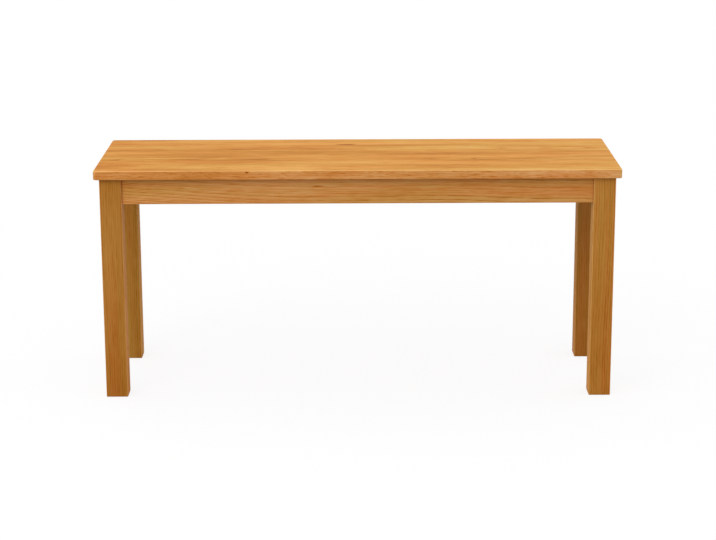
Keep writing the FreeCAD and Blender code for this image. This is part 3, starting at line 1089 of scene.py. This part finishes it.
# %% [markdown]
# ## Leg bolts
# Two button-headed bolts with a hexagon socket hold each leg, so that it can be taken off for transport. The
# head is domed, the shank plain near the head, and the last stretch carries a thread of 1 mm pitch. These
# could be three meshes, but turned from one profile they are one closed surface.

# %% Bolts
bolt_sizes = {
    "Head radius": 0.00525,
    "Head height": 0.0033,
    "Shank radius": 0.003,
    "Thread length": 0.030,
    "Thread pitch": 0.001,
    "Thread depth": 0.0005,
    "Tip chamfer": 0.0008,
    "Socket width": 0.004,
    "Socket depth": 0.0022,
}
# The head's profile from its middle to its underside, in shares of its radius and height.
dome = [(0.0, 0.0), (0.60, 0.0), (0.80, 0.10), (0.93, 0.32), (1.0, 0.62), (1.0, 0.96), (0.98, 1.0)]


def bolt_shape(start, given):
    head, height, shank = given["Head radius"], given["Head height"], given["Shank radius"]
    end, tip = given["Length"], given["Tip chamfer"]
    before = [(head * across, height * down) for across, down in dome]
    before += [(shank, height), (shank, end - given["Thread length"])]
    after = [(shank - tip, end), (0.0, end)]
    grooved = {"stretch": given["Thread length"] - tip, "rows": 150, "grooves": partial(thread, given)}
    rod = rolled_up(start, before, columns=24, after=after, **grooved)
    # A hexagon's corners lie as far from its middle as its width divided by the root of 3.
    key = {"Radius": given["Socket width"] / math.sqrt(3), "Depth": given["Socket depth"] * 2}
    return cut_away(rod, start.node("GeometryNodeMeshCylinder", key | {"Vertices": 6}))


bolt_tree = fastener_tree("socket_bolt", bolt_sizes, bolt_shape, seed=1)
add_fasteners("socket_bolts", "leg_bolts", bolt_tree, bolt_sizes, bright_zinc)

# %% [markdown]
# ## Washers and insert nuts
# A wide flat washer spreads the bolt's pull over the soft wood, and a split spring washer keeps the bolt
# from working loose. In the leg a screw-in nut takes the thread, coarse outside to hold in wood. All three
# could be bevelled tubes, but the lathe already makes a ring, from a profile that ends where it began.

# %% Washers
washer_edge = 0.00015
flat_sizes = {"Outer radius": 0.007, "Hole radius": 0.00305}
spring_sizes = {"Outer radius": 0.0055, "Hole radius": 0.00305, "Split": 0.0008, "Lean": math.radians(20)}


def flat_washer_shape(start, given):
    outer, hole, thick = given["Outer radius"], given["Hole radius"], given["Length"]
    edge = washer_edge
    section = [(hole + edge, 0.0), (outer - edge, 0.0), (outer, edge), (outer, thick - edge)]
    section += [(outer - edge, thick), (hole + edge, thick), (hole, thick - edge), (hole, edge)]
    return rolled_up(start, section + section[:1], columns=40)


def spring_washer_shape(start, given):
    ring = flat_washer_shape(start, given)
    outer = given["Outer radius"]
    size = point(start, X=outer * 2, Y=given["Split"], Z=outer * 2)
    saw = start.node("GeometryNodeMeshCube", {"Size": size})
    moved = {"Geometry": saw, "Translation": point(start, X=outer, Z=given["Length"] / 2)}
    moved["Rotation"] = point(start, X=given["Lean"])
    return cut_away(ring, start.node("GeometryNodeTransform", moved))


flat_tree = fastener_tree("flat_washer", flat_sizes, flat_washer_shape, seed=2)
add_fasteners("wide_washers", "flat_washers", flat_tree, flat_sizes, bright_zinc)
spring_tree = fastener_tree("spring_washer", spring_sizes, spring_washer_shape, seed=3)
add_fasteners("split_washers", "spring_washers", spring_tree, spring_sizes, bright_zinc)

# %% Insert nuts
nut_sizes = {
    "Outer radius": 0.005,
    "Bore radius": 0.00305,
    "Lead-in": 0.0008,
    "Chamfer": 0.0005,
    "Thread pitch": 0.0024,
    "Thread depth": 0.0008,
}


def nut_shape(start, given):
    outer, bore, end = given["Outer radius"], given["Bore radius"], given["Length"]
    lead, chamfer = given["Lead-in"], given["Chamfer"]
    before = [(bore + lead, 0.0), (outer - chamfer, 0.0), (outer, chamfer)]
    after = [(outer - chamfer, end), (bore, end), (bore, lead), (bore + lead, 0.0)]
    grooved = {"stretch": end - chamfer * 2, "rows": 60, "grooves": partial(thread, given)}
    return rolled_up(start, before, columns=32, after=after, **grooved)


nut_tree = fastener_tree("insert_nut", nut_sizes, nut_shape, seed=4)
add_fasteners("insert_nuts", "leg_insert_nuts", nut_tree, nut_sizes, dull_zinc)

# %% [markdown]
# ## Wood screws
# Sixteen screws hold the blocks to the aprons and seven longer ones hold the seat down. Scaling one to the
# other would stretch its thread, so one tree serves both and only its inputs change. The cross in the head
# is two cuts, the second less deep, so that their floors don't coincide.

# %% Screws
screw_sizes = {
    "Head radius": 0.004,
    "Shank radius": 0.002,
    "Head depth": 0.002,
    "Head rim": 0.00015,
    "Thread length": 0.013,
    "Thread pitch": 0.0018,
    "Thread depth": 0.0006,
    "Point": 0.004,
    "Recess width": 0.0042,
    "Recess slot": 0.0011,
    "Recess depth": 0.0014,
}
seat_screw_sizes = screw_sizes | {"Thread length": 0.018}
# Where the point bends, in shares of the shank's radius and of the point's length from its tip.
point_shoulder = (0.55, 0.45)
second_cut = 0.94


def screw_shape(start, given):
    head, shank, end = given["Head radius"], given["Shank radius"], given["Length"]
    rim, taper = given["Head rim"], given["Point"]
    before = [(0.0, 0.0), (head - rim, 0.0), (head, rim), (shank, given["Head depth"])]
    before += [(shank, end - taper - given["Thread length"])]
    after = [(shank * point_shoulder[0], end - taper * point_shoulder[1]), (0.0, end)]
    grooved = {"stretch": given["Thread length"], "rows": 70, "grooves": partial(thread, given)}
    rod = rolled_up(start, before, columns=20, after=after, **grooved)
    long, slot, deep = given["Recess width"], given["Recess slot"], given["Recess depth"] * 2
    for size in ({"X": long, "Y": slot, "Z": deep}, {"X": slot, "Y": long, "Z": deep * second_cut}):
        rod = cut_away(rod, start.node("GeometryNodeMeshCube", {"Size": point(start, **size)}))
    return rod


screw_tree = fastener_tree("wood_screw", screw_sizes, screw_shape, seed=5)
add_fasteners("short_screws", "block_screws", screw_tree, screw_sizes, yellow_zinc)
add_fasteners("long_screws", "seat_screws", screw_tree, seat_screw_sizes, yellow_zinc)

# %% [markdown]
# ## Dowels
# Two beech dowels locate each end of the centre rail. They are fluted, so that glue and air can escape from
# the hole. A bump in the material could hint at flutes, but real ones show at the ends too, so they use the
# lathe's grooved stretch.

# %% Dowels
dowel_sizes = {
    "Radius": hole_radii["rail_dowels"],
    "Chamfer": 0.0008,
    "Flutes": 16.0,
    "Flute depth": 0.0003,
}
dowel_seed = 95
straight_grain = quarter_sawn | {"ring": 0.0016, "contrast": 0.25}
beech = bare_wood | {
    "stops": [(0.0, (0.80, 0.62, 0.43)), (0.5, (0.72, 0.52, 0.34)), (1.0, (0.55, 0.36, 0.21))],
    "pores": (0.45, 0.27, 0.15, 1.0),
}


def flutes(given, height, turn):
    """How deep a flute is at a place on a dowel, which is the same at every height."""
    return wave(turn * given["Flutes"]) * given["Flute depth"]


def dowel_shape(start, given):
    radius, end, chamfer = given["Radius"], given["Length"], given["Chamfer"]
    before = [(0.0, 0.0), (radius - chamfer, 0.0), (radius, chamfer)]
    after = [(radius - chamfer, end), (0.0, end)]
    grooved = {"stretch": end - chamfer * 2, "rows": 16, "grooves": partial(flutes, given)}
    return rolled_up(start, before, columns=96, after=after, **grooved)


dowel_tree = fastener_tree("fluted_dowel", dowel_sizes, dowel_shape, seed=6)
dowel_middle = sum(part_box("rail_dowels"), Vector()) / 2
dowel_wood = wood("dowel_beech", beech, dowel_middle, turns["y"], straight_grain, dowel_seed)
add_fasteners("fluted_dowels", "rail_dowels", dowel_tree, dowel_sizes, dowel_wood)
